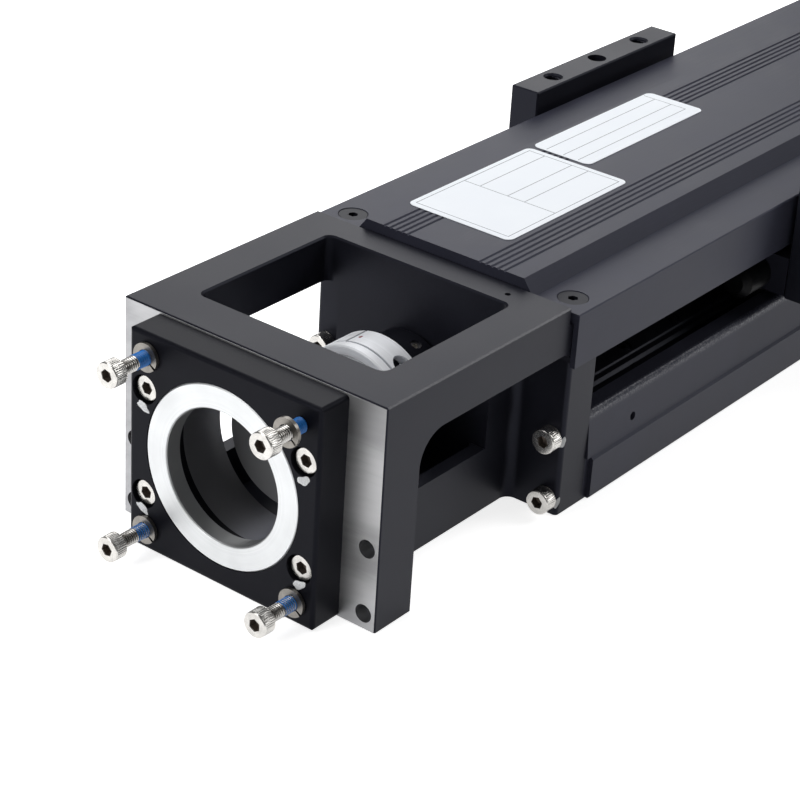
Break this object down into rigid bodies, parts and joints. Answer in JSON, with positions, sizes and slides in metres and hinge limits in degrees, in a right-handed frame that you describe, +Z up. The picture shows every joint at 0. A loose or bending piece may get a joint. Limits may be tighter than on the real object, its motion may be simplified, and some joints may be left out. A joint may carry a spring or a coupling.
{
  "type": "ball screw linear module",
  "caption": "Covered ball screw linear actuator: extruded base, milled motor housing with shaft coupling, and a carriage with side mounting wings that runs out through slots in both sides.",
  "frame": {"origin": "centre of the base extrusion's mounting face, halfway along the extrusion", "axes": "+Z up away from the mounting face, Y along the screw with the motor end at -Y, X across"},
  "size_m": [0.112, 0.3815, 0.067],
  "materials": {
    "black_anodised": "black anodised, fine machined satin",
    "extruded_black": "black anodised extrusion, fine lengthwise lines",
    "bare_aluminium": "turned bare aluminium",
    "zinc_steel": "plated steel fasteners",
    "black_steel": "black oxide steel",
    "ground_steel": "hardened and ground steel",
    "bright_steel": "polished steel",
    "black_rubber": "matt rubber",
    "black_plastic": "moulded plastic"
  },
  "bodies": {
    "base": {"base_extrusion": "extruded_black", "motor_housing": "black_anodised", "motor_plate": "black_anodised", "centring_ring": "bare_aluminium", "plate_screws": "zinc_steel", "motor_screws": "zinc_steel", "spring_washers": "zinc_steel", "housing_screws": "zinc_steel", "top_cover": "extruded_black", "cover_screws": "black_steel", "rear_block": "black_anodised", "rear_block_screws": "zinc_steel", "rear_cap": "black_plastic", "left_rail": "black_steel", "right_rail": "black_steel", "rail_screws": "black_steel", "front_bearing_outers": "ground_steel", "bearing_retainer": "black_anodised", "retainer_screws": "black_steel", "rear_bearing_outer": "ground_steel"},
    "carriage": {"saddle": "black_anodised", "left_wing": "black_anodised", "right_wing": "black_anodised", "wing_screws": "zinc_steel", "ball_nut": "ground_steel", "nut_screws": "black_steel", "nut_wipers": "black_rubber", "guide_block_left_front": "black_steel", "guide_block_left_rear": "black_steel", "guide_block_right_front": "black_steel", "guide_block_right_rear": "black_steel", "block_end_caps": "black_plastic", "block_screws": "black_steel", "front_bumpers": "black_rubber", "rear_bumpers": "black_rubber"},
    "screw": {"ball_screw": "ground_steel", "bearing_spacer": "ground_steel", "lock_nut": "black_steel", "lock_nut_screw": "zinc_steel", "coupling_motor_hub": "bare_aluminium", "coupling_discs": "ground_steel", "coupling_spacer": "bare_aluminium", "coupling_screw_hub": "bare_aluminium", "coupling_screws": "black_steel", "front_bearing_inners": "ground_steel", "front_bearing_balls": "bright_steel", "rear_bearing_inner": "ground_steel", "rear_bearing_balls": "bright_steel", "rear_circlip": "black_steel"}
  },
  "joints": [
    {"name": "carriage_slide", "type": "slide", "parent": "base", "child": "carriage", "axis": [0, 1, 0], "range_m": [-0.081, 0.069]},
    {"name": "screw_spin", "type": "hinge", "parent": "base", "child": "screw", "pos_m": [0, 0, 0.031], "axis": [0, 1, 0], "range_deg": [-2486, 2918]}
  ],
  "couplings": [
    {"joint": "screw_spin", "follows": "carriage_slide", "rad_per_m": -628.32}
  ]
}
